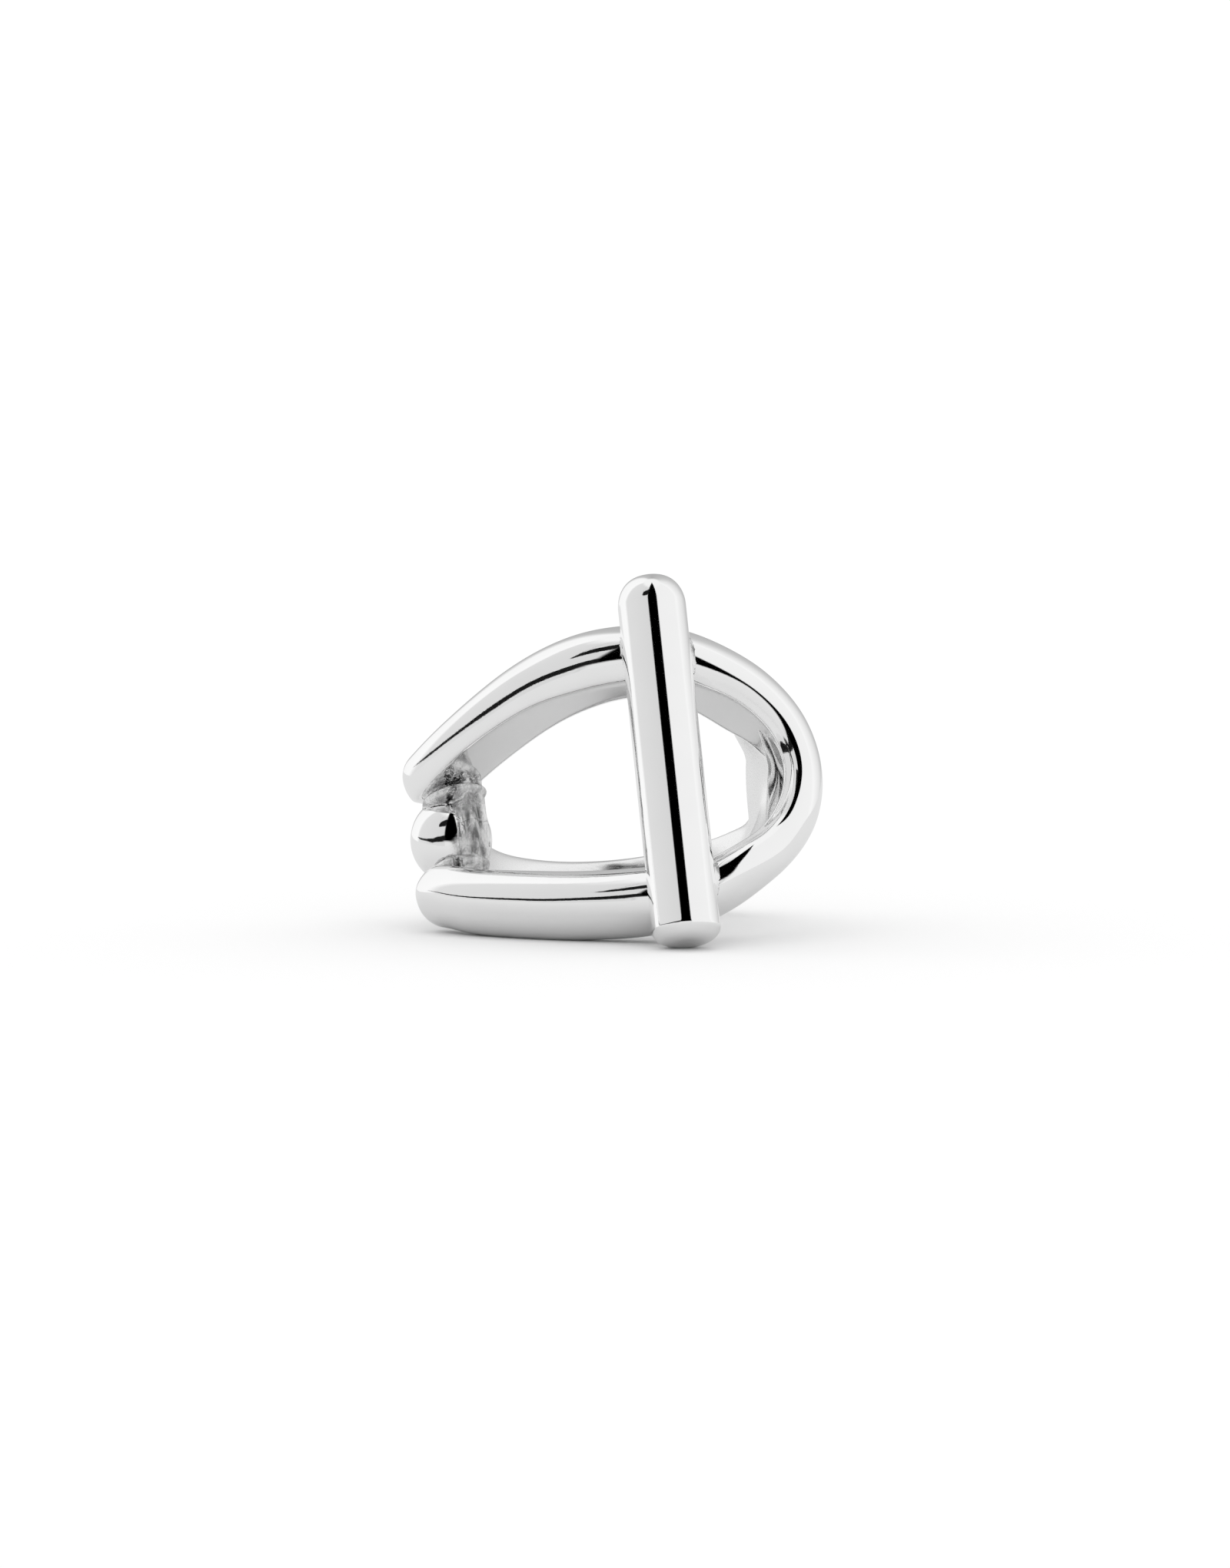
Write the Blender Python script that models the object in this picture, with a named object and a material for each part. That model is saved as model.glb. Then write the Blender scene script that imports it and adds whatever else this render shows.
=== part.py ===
"""A silver toggle ring for a finger, lying on its side on a table.

A round rod is bent into a horseshoe loop, which is the ring's face. A straight toggle bar is let
into the front of the loop and soldered to it. The loop's two ends hold a small ball, and a narrow
shank runs from the ball round the back of the finger to the bow of the loop. Nothing on it moves.

The ring is modelled upright in its own frame, in millimetres: X to the right, -Y out of the face,
Z along the finger. An empty then lays it down on its three resting points: the lower end of the
bar, the lower end of the loop, and the back of the shank.
"""
import math

import bmesh
import bpy
from mathutils import Matrix, Vector

MM = 0.001

# ---- driving dimensions, in millimetres ---------------------------------------------------------
HOLE_RADIUS = 8.75          # finger hole, 17.5 mm across
GAP = 0.06                  # solder line between two pieces

LOOP_BEND_RADIUS = 19.0     # the loop is bent round the finger on this radius
LOOP_CREST = (3.3, -11.0)   # the foremost point of the bent loop, in X and Y
# The loop's rod, from its upper end beside the ball, round the bow to its lower end: X and Z of
# the centre line, and the rod's radius there.
LOOP_STATIONS = ((-11.55, 4.0, 2.2), (-9.0, 5.2, 2.25), (-4.8, 7.05, 2.35), (-1.5, 7.98, 2.4),
                 (1.35, 8.22, 2.35), (4.2, 7.95, 2.25), (6.8, 6.9, 2.15), (9.3, 5.15, 2.1),
                 (11.0, 2.8, 2.1), (11.6, 0.0, 2.1), (11.0, -2.8, 2.1), (9.3, -5.35, 1.95),
                 (6.8, -7.2, 2.0), (4.2, -8.1, 2.15), (1.35, -8.25, 2.3), (-1.5, -8.0, 2.3),
                 (-4.8, -7.25, 2.3), (-9.0, -5.65, 2.25), (-11.4, -4.35, 2.2))

BAR_CENTRE = (3.8, -14.4)   # the toggle bar's axis, in X and Y
BAR_LENGTH = 25.0
BAR_RADIUS = 2.22
BAR_END_ROUNDING = 1.5

BALL_CENTRE = (-11.0, -3.4, -0.25)
BALL_RADII = (2.7, 2.5, 2.9)

# Fillets of solder: centre and radii of the drop that fills each groove.
BAR_SOLDER_OFFSET = 2.1     # to each side of the bar's axis
BAR_SOLDER_Y = -13.3
BAR_SOLDER_RADII = (0.75, 0.8, 1.6)
BALL_SOLDER_CENTRE = (-10.4, -4.4, 2.5)
BALL_SOLDER_RADII = (1.9, 1.4, 0.8)

# The shank's stations: angle round the finger from the front in degrees, to the right first; how
# far its inner face stands off the finger hole; the height of its middle; its half width; its
# thickness.
SHANK_STATIONS = ((58, 2.9, 0.5, 5.0, 2.2), (72, 0.9, 0.5, 5.0, 2.3), (86, 0.0, 0.3, 4.5, 2.2),
                  (98, 0.0, -0.9, 2.6, 2.2), (110, 0.0, -0.8, 1.9, 2.2),
                  (128, 0.0, -0.5, 1.75, 2.2), (150, 0.0, -0.35, 1.7, 2.2),
                  (180, 0.0, -0.3, 1.65, 2.2), (215, 0.0, -0.3, 1.6, 2.2),
                  (243, 0.1, -0.3, 1.55, 2.2), (260, 0.3, -0.25, 1.8, 2.3),
                  (274, 0.5, -0.25, 2.9, 2.4), (288, 0.9, -0.2, 3.2, 2.4))

LEAN = 23.0                 # degrees that the finger's axis leans back, away from the face
ROLL = 6.1                  # degrees that it then leans to the left

# ---- how finely the round shapes are divided ----------------------------------------------------
ROD_SIDES = 20
STEPS_PER_SPAN = 3
END_RINGS = 4
BALL_SEGMENTS = 28
BALL_RINGS = 16
SHANK_SIDES = 16
SHANK_STEPS_PER_SPAN = 3
SOLDER_SEGMENTS = 20
SOLDER_RINGS = 12
SHARP_ANGLE = math.radians(35)


def clear_scene():
    """Remove every object that is already in the file."""
    for item in list(bpy.data.objects):
        bpy.data.objects.remove(item, do_unlink=True)


def metal(name, shade, roughness):
    """A neutral grey Principled metal."""
    material = bpy.data.materials.new(name)
    material.use_nodes = True
    shader = material.node_tree.nodes["Principled BSDF"]
    shader.inputs["Base Color"].default_value = (shade, shade, shade, 1.0)
    shader.inputs["Metallic"].default_value = 1.0
    shader.inputs["Roughness"].default_value = roughness
    return material


def smooth_through(points, steps):
    """Catmull-Rom curve through the points, as Vectors, with `steps` pieces to each span."""
    padded = [2 * points[0] - points[1], *points, 2 * points[-1] - points[-2]]
    curve = []
    for i in range(len(points) - 1):
        a, b, c, d = padded[i:i + 4]
        for step in range(steps):
            t = step / steps
            curve.append(0.5 * (2 * b + (c - a) * t + (2 * a - 5 * b + 4 * c - d) * t ** 2
                                + (3 * b - a - 3 * c + d) * t ** 3))
    curve.append(points[-1].copy())
    return curve


def mesh_object(name, rings, material, root):
    """Skin closed rings of points, millimetres, into one closed body with capped ends."""
    mesh = bmesh.new()
    loops = [[mesh.verts.new(point * MM) for point in ring] for ring in rings]
    for near, far in zip(loops, loops[1:]):
        for i, corner in enumerate(near):
            j = (i + 1) % len(near)
            mesh.faces.new((corner, near[j], far[j], far[i]))
    mesh.faces.new(list(reversed(loops[0])))
    mesh.faces.new(loops[-1])
    bmesh.ops.recalc_face_normals(mesh, faces=mesh.faces)
    return finish_object(name, mesh, material, root)


def finish_object(name, mesh, material, root):
    """Turn a bmesh into a smooth-shaded object under the root empty."""
    data = bpy.data.meshes.new(name)
    mesh.to_mesh(data)
    mesh.free()
    data.shade_smooth()
    data.set_sharp_from_angle(angle=SHARP_ANGLE)
    item = bpy.data.objects.new(name, data)
    bpy.context.collection.objects.link(item)
    item.parent = root
    if material:
        data.materials.append(material)
    return item


def loop_point(x, z):
    """A point of the loop's centre line, bent back round the finger."""
    across = x - LOOP_CREST[0]
    depth = LOOP_BEND_RADIUS - math.sqrt(LOOP_BEND_RADIUS ** 2 - across ** 2)
    return Vector((x, LOOP_CREST[1] + depth, z))


def loop_path():
    """The loop's rod as centre points and radii, from its upper end to its lower end."""
    stations = [Vector((x, z, radius)) for x, z, radius in LOOP_STATIONS]
    fine = smooth_through(stations, STEPS_PER_SPAN)
    return [(loop_point(x, z), radius) for x, z, radius in fine]


def rod_rings(path, swell):
    """Round sections along the loop with domed ends, all `swell` larger than the rod."""
    bend_centre = Vector((LOOP_CREST[0], LOOP_CREST[1] + LOOP_BEND_RADIUS, 0.0))
    last = len(path) - 1
    rings = []

    def section(centre, tangent, radius):
        outward = centre - bend_centre
        outward.z = 0.0
        outward = (outward - outward.dot(tangent) * tangent).normalized()
        side = tangent.cross(outward)
        turns = [2 * math.pi * k / ROD_SIDES for k in range(ROD_SIDES)]
        return [centre + radius * (math.cos(a) * outward + math.sin(a) * side) for a in turns]

    def dome(centre, tangent, radius, heading):
        angles = [0.5 * math.pi * (k + 0.35) / (END_RINGS + 0.35) for k in range(END_RINGS)]
        return [section(centre + heading * tangent * radius * math.cos(a), tangent,
                        radius * math.sin(a)) for a in angles]

    for i, (point, rod_radius) in enumerate(path):
        tangent = (path[min(i + 1, last)][0] - path[max(i - 1, 0)][0]).normalized()
        radius = rod_radius + swell
        if i == 0:
            rings += dome(point, tangent, radius, -1)
        rings.append(section(point, tangent, radius))
        if i == last:
            rings += reversed(dome(point, tangent, radius, 1))
    return rings


def bar_rings(swell):
    """The toggle bar: a round bar with flat ends and a quarter-round corner at each."""
    radius = BAR_RADIUS + swell
    half = BAR_LENGTH / 2 + swell
    profile = []
    for k in range(END_RINGS + 1):
        angle = 0.5 * math.pi * k / END_RINGS
        profile.append((radius - BAR_END_ROUNDING * (1 - math.sin(angle)),
                        half - BAR_END_ROUNDING * (1 - math.cos(angle))))
    profile += [(r, -z) for r, z in reversed(profile)]
    turns = [2 * math.pi * k / ROD_SIDES for k in range(ROD_SIDES)]
    return [[Vector((BAR_CENTRE[0] + r * math.cos(a), BAR_CENTRE[1] + r * math.sin(a), z))
             for a in turns] for r, z in profile]


def shank_rings(swell):
    """Rounded sections of the shank, from the bow of the loop round the back to the ball."""
    stations = [Vector(station) for station in SHANK_STATIONS]
    rings = []
    for station in smooth_through(stations, SHANK_STEPS_PER_SPAN):
        angle, stand_off, height, half_width, thickness = station
        bearing = math.radians(angle)
        outward = Vector((math.sin(bearing), -math.cos(bearing), 0.0))
        middle = outward * (HOLE_RADIUS + stand_off + thickness / 2)
        middle.z = height
        ring = []
        for k in range(SHANK_SIDES):
            turn = 2 * math.pi * (k + 0.5) / SHANK_SIDES
            across = math.copysign(abs(math.cos(turn)) ** 0.75, math.cos(turn))
            along = math.copysign(abs(math.sin(turn)) ** 0.85, math.sin(turn))
            ring.append(middle + outward * (thickness / 2 + swell) * across
                        + Vector((0, 0, 1)) * (half_width + swell) * along)
        rings.append(ring)
    return rings


def ellipsoid(name, centre, radii, material, root, segments=BALL_SEGMENTS, rings=BALL_RINGS):
    """A ball, or a ball stretched to three radii."""
    mesh = bmesh.new()
    bmesh.ops.create_uvsphere(mesh, u_segments=segments, v_segments=rings, radius=1.0)
    shape = Matrix.Translation(Vector(centre) * MM) @ Matrix.Diagonal((*[r * MM for r in radii], 1))
    bmesh.ops.transform(mesh, matrix=shape, verts=mesh.verts)
    return finish_object(name, mesh, material, root)


def as_cutter(item):
    """Hide a guide solid that only cuts."""
    item.hide_render = True
    item.display_type = "WIRE"
    return item


def cut(item, cutters):
    """Cut the item by each cutter, leaving the solder line between them."""
    for cutter in cutters:
        step = item.modifiers.new("cut_" + cutter.name, "BOOLEAN")
        step.operation = "DIFFERENCE"
        step.solver = "EXACT"
        step.object = cutter


def stand_on_table(root, pieces):
    """Move the ring so that it touches z = 0 and its box is centred on the origin."""
    bpy.context.view_layer.update()
    graph = bpy.context.evaluated_depsgraph_get()
    corners = []
    for piece in pieces:
        seen = piece.evaluated_get(graph)
        corners += [seen.matrix_world @ vertex.co for vertex in seen.data.vertices]
    low = [min(corner[i] for corner in corners) for i in range(3)]
    high = [max(corner[i] for corner in corners) for i in range(3)]
    root.location = (-(low[0] + high[0]) / 2, -(low[1] + high[1]) / 2, -low[2])


def lay_down():
    """The empty that carries the ring, leaning back and then to the left."""
    root = bpy.data.objects.new("ring_frame", None)
    bpy.context.collection.objects.link(root)
    lean = Matrix.Rotation(math.radians(-LEAN), 4, "X")
    roll = Matrix.Rotation(math.radians(-ROLL), 4, "Y")
    root.rotation_euler = (roll @ lean).to_euler()
    return root


def loop_height(path, x, up):
    """Height of the loop's centre line at x, on its upper (1) or lower (-1) side."""
    side = [point for point, radius in path if point.z * up > 0]
    return min(side, key=lambda point: abs(point.x - x)).z


def add_solder(root, material, path, loop_cutter, bar_cutter, ball_cutter, shank_cutter):
    """The fillets beside the bar, four of them, and above and below the ball."""
    drops = []
    for side, across in (("left", -1), ("right", 1)):
        for level, up in (("upper", 1), ("lower", -1)):
            x = BAR_CENTRE[0] + across * BAR_SOLDER_OFFSET
            centre = (x, BAR_SOLDER_Y, loop_height(path, x, up))
            drop = ellipsoid(f"bar_solder_{level}_{side}", centre, BAR_SOLDER_RADII, material,
                             root, SOLDER_SEGMENTS, SOLDER_RINGS)
            cut(drop, [loop_cutter, bar_cutter])
            drops.append(drop)
    for level, up in (("upper", 1), ("lower", -1)):
        x, y, z = BALL_SOLDER_CENTRE
        drop = ellipsoid(f"ball_solder_{level}", (x, y, up * z), BALL_SOLDER_RADII, material,
                         root, SOLDER_SEGMENTS, SOLDER_RINGS)
        cut(drop, [loop_cutter, ball_cutter, shank_cutter])
        drops.append(drop)
    return drops


def main():
    clear_scene()
    root = lay_down()
    polished = metal("polished_silver", 0.86, 0.06)
    satin = metal("satin_silver", 0.78, 0.22)
    cast = metal("rough_cast_silver", 0.42, 0.45)

    path = loop_path()
    loop = mesh_object("front_loop", rod_rings(path, 0.0), polished, root)
    bar = mesh_object("toggle_bar", bar_rings(0.0), polished, root)
    ball = ellipsoid("ball", BALL_CENTRE, BALL_RADII, polished, root)
    shank = mesh_object("shank", shank_rings(0.0), satin, root)

    around_loop = as_cutter(mesh_object("loop_seat_cutter", rod_rings(path, GAP), None, root))
    around_bar = as_cutter(mesh_object("bar_seat_cutter", bar_rings(GAP), None, root))
    around_ball = as_cutter(ellipsoid("ball_seat_cutter", BALL_CENTRE,
                                      [radius + GAP for radius in BALL_RADII], None, root))
    around_shank = as_cutter(mesh_object("shank_seat_cutter", shank_rings(GAP), None, root))

    cut(loop, [around_bar, around_ball])
    cut(shank, [around_loop, around_ball])
    solder = add_solder(root, cast, path, around_loop, around_bar, around_ball, around_shank)
    stand_on_table(root, [loop, bar, ball, shank, *solder])


main()
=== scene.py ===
"""Looks of the silver toggle ring: smooth pieces, solder fillets, silver finishes and the studio.

Everything is worked out in the ring's own upright frame, in millimetres: X to the right, -Y out of
the face, Z along the finger. `ring_to_world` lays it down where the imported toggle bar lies.
"""
import math

import bpy
import numpy as np
from mathutils import Matrix, Vector
from mathutils.bvhtree import BVHTree


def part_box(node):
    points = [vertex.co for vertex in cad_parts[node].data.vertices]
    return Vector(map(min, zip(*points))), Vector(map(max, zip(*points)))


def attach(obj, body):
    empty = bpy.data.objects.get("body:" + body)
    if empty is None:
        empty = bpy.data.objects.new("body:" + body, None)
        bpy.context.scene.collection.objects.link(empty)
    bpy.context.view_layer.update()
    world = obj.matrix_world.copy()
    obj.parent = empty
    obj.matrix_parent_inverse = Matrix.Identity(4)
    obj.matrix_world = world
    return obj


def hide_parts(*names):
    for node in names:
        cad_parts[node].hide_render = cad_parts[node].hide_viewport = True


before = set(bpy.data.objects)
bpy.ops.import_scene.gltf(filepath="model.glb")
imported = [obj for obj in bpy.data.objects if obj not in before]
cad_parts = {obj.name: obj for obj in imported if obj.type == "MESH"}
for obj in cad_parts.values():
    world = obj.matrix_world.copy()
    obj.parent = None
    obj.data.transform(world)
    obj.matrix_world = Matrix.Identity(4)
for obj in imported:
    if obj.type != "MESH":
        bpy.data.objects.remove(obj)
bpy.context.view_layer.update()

MM = 0.001

# ---- the ring's dimensions, in millimetres ------------------------------------------------------
HOLE_RADIUS = 8.75          # finger hole
LEAN = 23.0                 # degrees that the finger's axis leans back
ROLL = 6.1                  # degrees that it then leans to the left

LOOP_BEND_RADIUS = 19.0     # the loop's centre line is bent back round the finger
LOOP_CREST = (3.3, -11.0)   # X and Y of the bend's foremost point
LOWER_BEND_RADIUS = 31.45   # the lower arm leans back on a wider bend, from a crest further right
LOWER_CREST_X = 6.6
LOWER_ARM_DEPTH = (2.5, 6.5)    # the change to it, by depth below the middle
LOWER_ARM_END = (7.0, 11.0)     # and back again towards the bow, by X
# Stations along the loop's rod, from its upper end beside the ball, round the bow, to its lower
# end. X and Z of the centre line; rod radius; bearing of the inner edge from the front, degrees;
# how far out that edge stands, in rod radii; the rear inner edge, outward and forward, in radii;
# strength of the blunt ridge along the front, and how far it is turned outward, degrees.
LOOP_STATIONS = (
    (-11.55, 4.00, 2.20, 40, 1.00, -0.75, -0.75, 1.0, 24),
    (-9.00, 5.20, 2.25, 34, 1.00, -0.75, -0.85, 1.0, 24),
    (-4.80, 7.05, 2.35, 40, 1.00, -0.80, -0.92, 0.8, 16),
    (-1.50, 7.98, 2.40, 52, 1.00, -0.86, -0.86, 0.1, 8),
    (1.35, 8.22, 2.35, 56, 1.00, -0.88, -0.83, 0.0, 0),
    (4.20, 7.95, 2.25, 54, 0.97, -0.90, -0.85, 0.0, 0),
    (6.80, 6.90, 2.15, 50, 0.93, -0.94, -1.15, 0.2, -4),
    (9.30, 5.15, 2.10, 44, 0.85, -0.78, -1.45, 0.6, -10),
    (11.00, 2.80, 2.10, 40, 0.79, -0.45, -1.10, 0.8, -14),
    (11.60, 0.00, 2.10, 38, 0.77, -0.28, -0.62, 0.8, -14),
    (11.00, -2.80, 2.10, 38, 0.77, -0.30, -0.62, 0.8, -14),
    (9.30, -5.35, 1.95, 40, 0.80, -0.45, -0.70, 0.5, -10),
    (6.80, -7.20, 2.00, 46, 0.90, -0.62, -0.80, 0.3, -5),
    (4.20, -8.08, 2.15, 54, 0.97, -0.80, -0.80, 0.3, 0),
    (1.35, -8.14, 2.30, 58, 1.00, -0.84, -0.78, 0.7, 0),
    (-1.50, -7.85, 2.30, 60, 1.00, -0.86, -0.72, 1.0, 0),
    (-4.80, -7.16, 2.30, 60, 1.00, -0.86, -0.70, 1.0, 0),
    (-9.00, -5.80, 2.25, 58, 1.00, -0.82, -0.70, 1.0, 0),
    (-11.40, -4.40, 2.20, 55, 1.00, -0.80, -0.70, 1.0, 0))

# The rod's section: lengths in rod radii, angles in degrees.
EDGE_SPAN = 52              # how much of the round part fades into the front inner edge
REAR_SPAN = 45              # and into the rear one
KEEL_HEIGHT = 0.045         # blunt ridge along the front
KEEL_SPREAD = 0.36          # its half width, radians
GROOVE_DEPTH = 0.035        # shallow groove just outside the front inner edge
GROOVE_SPAN = 24
GROOVE_FULL_AT = 0.23       # the groove is deepest where the edge stands this far inside the rod

BAR_CENTRE = (3.8, -14.4)
BAR_LENGTH = 25.0
BAR_RADIUS = 2.22
BAR_END_ROUNDING = 1.5      # rounding of the ends, across the bar
BAR_TOP_ROUNDING = 2.0      # its length along the bar, above and below
BAR_FOOT_ROUNDING = 0.95
BAR_FLAT_RINGS = (0.1, 0.325, 0.55, 0.775)      # rings on the flat ends, in the flat's radii

BALL_CENTRE = (-11.0, -3.4, -0.25)
BALL_RADII = (2.7, 2.5, 2.9)

# Angle round the finger from the front in degrees, to the right first; how far the inner face
# stands off the finger hole; height of the middle; half width; thickness.
SHANK_STATIONS = (
    (51, 4.9, 0.4, 4.5, 0.9), (60, 2.2, 0.5, 5.0, 1.9), (72, 0.8, 0.5, 5.2, 2.2),
    (86, 0.0, 0.3, 4.5, 2.2), (98, 0.0, -0.9, 2.6, 2.2), (110, 0.0, -0.8, 1.9, 2.2),
    (128, 0.0, -0.5, 1.75, 2.2), (150, 0.0, -0.35, 1.7, 2.2), (180, 0.0, -0.3, 1.65, 2.2),
    (215, 0.0, -0.3, 1.6, 2.2), (243, 0.1, -0.3, 1.55, 2.2), (260, 0.3, -0.25, 1.8, 2.3),
    (274, 0.5, -0.25, 2.9, 2.4), (288, 0.9, -0.2, 3.2, 2.4))
# Powers of the sine and cosine that draw its section; under 1 is squarer than round.
SHANK_INNER_SQUARENESS = 0.42
SHANK_OUTER_SQUARENESS = 0.75
SHANK_SIDE_SQUARENESS = 0.8
SHOULDER_LEAN = 1.3         # how far the shoulder's upper and lower edges lean in at the bow
SHOULDER_LEAN_SPANS = ((50, 60), (60, 84))      # angles where the lean grows, and where it fades
SHOULDER_EDGE = 0.25        # share of the half width that stays straight
SHOULDER_REACH = 2.0        # how far the same edges reach forward along the bow
SHOULDER_REACH_SPAN = (50, 78)

# The fillets at the bar: how far they spread, and the corners of the space round each crossing,
# from its middle (that middle's height is 8.1 above or below the ring's).
FILLET_SPREAD = {"left": 0.6, "right": 0.9}
CROSSING_ACROSS = 2.0
CROSSING_HEIGHT = 8.1
CROSSING_LOW = (-1.9, -0.6, -3.2)
CROSSING_HIGH = (1.9, 3.8, 3.2)
CAST_SPOTS = {"upper": (6.85, -12.9, 7.9), "lower": (6.85, -12.9, -6.7)}
CAST_SPOT_FADE = (0.5, 1.3)     # distances from a spot where the cast finish starts and stops fading

# The cast neck between the ball and the finger hole.
PILLAR_CENTRE = (-9.6, -4.5, 0.3)
PILLAR_RADII = (1.0, 1.5, 5.2)
COLLAR_CENTRE = (-10.5, -4.3, 2.3)
COLLAR_RADII = (2.15, 2.25, 0.62)
COLLAR_TILT = 0.13          # its rise towards the right, as a slope
FLANGE_CENTRE = (-10.4, -4.5, -2.5)
FLANGE_RADII = (1.8, 1.7, 0.55)
FLUTES = 7
FLUTE_DEPTH = 0.16
FLUTE_TWIST = 0.5           # radians for each millimetre up
LUMP_HEIGHT = 0.07
LUMP_SIZE = 0.45
CRUMB_HEIGHT = 0.02
CRUMB_SIZE = 0.2
LUMP_SQUEEZE = (1.0, 1.0, 0.3)      # lumps are drawn out along Z
COLLAR_LUMPS = 0.2          # share of the lumps on the two discs
FLANGE_LUMPS = 0.4
BODY_BLEND = 0.5            # how far the loop melts into the shank beside the neck
BALL_BLEND = 0.22
DISC_BLEND = 0.2
COLUMN_BLEND = 0.15
NECK_BLEND = 0.22
COLUMN_CAST_FADE = 0.3      # how fast the cast finish fades off the pillar and off the discs
DISC_CAST_FADE = 0.2
DISC_CAST = 0.55
NECK_CAST_END = (-8.9, -8.5)        # X where the finish fades towards the finger hole
BALL_CAST_FADE = (0.15, 0.8)        # the cast patch low on the ball, by distance from the pillar
BALL_CAST_HEIGHTS = (-1.6, -0.4)
NECK_SPLIT = 0.2            # height where the upper half meets the lower one
NECK_LOW = (-14.0, -8.5, -7.0)
NECK_HIGH = (-6.0, 1.0, 7.0)

SUNK = 0.05                 # how deep a fillet reaches into the pieces that it joins
FEATHER = 0.012             # how thick a fillet is where it runs out

# ---- how finely the pieces are divided ----------------------------------------------------------
STEPS_PER_SPAN = 14
ARC_POINTS = 84
WALL_POINTS = 28
EDGE_POINTS = 5             # points that are smoothed beside the front inner edge, and how often
REAR_POINTS = 9             # points that are smoothed beside the rear inner edge
REAR_PASSES = 26
DOME_RINGS = 14
BAR_SIDES = 128
BAR_RINGS = 80
BAR_END_STEPS = 28
BALL_RINGS = 64
BALL_SIDES = 96
SHANK_SIDES = 96
FILLET_PITCH = 0.08         # grid spacing for the bodies that come from distance fields
NECK_PITCH = 0.09
COARSE_STEPS = 3            # their coarse pass is this many times wider
COARSE_MARGIN = 1.3         # and trusts no cell nearer to the surface than this many of its steps


def ring_to_world():
    """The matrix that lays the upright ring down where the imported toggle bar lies."""
    lean = Matrix.Rotation(math.radians(-LEAN), 4, "X")
    roll = Matrix.Rotation(math.radians(-ROLL), 4, "Y")
    turn = roll @ lean
    low, high = (Vector(corner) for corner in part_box("toggle_bar"))
    bar_middle = Vector((BAR_CENTRE[0], BAR_CENTRE[1], 0.0)) * MM
    place = (low + high) / 2 - turn @ bar_middle
    return Matrix.Translation(place) @ turn


TO_WORLD = ring_to_world()


# ---- curves and swept bodies --------------------------------------------------------------------
def smooth_through(rows, steps):
    """Catmull-Rom curve through the rows of numbers, with `steps` pieces to each span."""
    rows = np.array(rows, float)
    padded = np.vstack([2 * rows[0] - rows[1], rows, 2 * rows[-1] - rows[-2]])
    t = (np.arange(steps) / steps)[:, None]
    curve = []
    for i in range(len(rows) - 1):
        a, b, c, d = padded[i:i + 4]
        curve.append(0.5 * (2 * b + (c - a) * t + (2 * a - 5 * b + 4 * c - d) * t ** 2
                            + (3 * b - a - 3 * c + d) * t ** 3))
    curve.append(rows[-1:])
    return np.vstack(curve)


def unit(vectors):
    """The same directions with a length of 1."""
    return vectors / np.linalg.norm(vectors, axis=-1, keepdims=True)


def smoothstep(low, high, value):
    """0 below the first limit, 1 above the second, and a smooth rise between them."""
    t = np.clip((value - low) / (high - low), 0, 1)
    return t * t * (3 - 2 * t)


def skin(rings):
    """Vertices and faces of a closed body through rings of points (rings, sides, 3)."""
    count, sides = rings.shape[:2]
    middles = np.stack([rings[0].mean(axis=0), rings[-1].mean(axis=0)])
    points = np.vstack([rings.reshape(-1, 3), middles])
    ring, side = np.meshgrid(np.arange(count - 1), np.arange(sides), indexing="ij")
    after = (side + 1) % sides
    quads = np.stack([ring * sides + side, ring * sides + after,
                      (ring + 1) * sides + after, (ring + 1) * sides + side], axis=-1)
    faces = quads.reshape(-1, 4).tolist()
    first, last = count * sides, count * sides + 1
    base = (count - 1) * sides
    for k in range(sides):
        n = (k + 1) % sides
        faces.append([first, n, k])
        faces.append([last, base + k, base + n])
    return points, faces


def signed_volume(points, faces):
    """Volume of a closed body, below zero where its faces look inward."""
    total = 0.0
    for face in faces:
        a = points[face[0]]
        for i in range(1, len(face) - 1):
            total += np.dot(a, np.cross(points[face[i]], points[face[i + 1]]))
    return total / 6


def lower_arm_share(x, z):
    """1 along the loop's lower arm, 0 along the rest, with a smooth change between them."""
    return smoothstep(*LOWER_ARM_DEPTH, -z) * (1 - smoothstep(*LOWER_ARM_END, x))


def loop_points(x, z):
    """Points of the loop's centre line, bent back round the finger."""
    def bent(crest, radius):
        return radius - np.sqrt(radius ** 2 - (x - crest) ** 2)

    depth = bent(LOOP_CREST[0], LOOP_BEND_RADIUS)
    depth += lower_arm_share(x, z) * (bent(LOWER_CREST_X, LOWER_BEND_RADIUS) - depth)
    return np.stack([x, LOOP_CREST[1] + depth, z], axis=-1)


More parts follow.
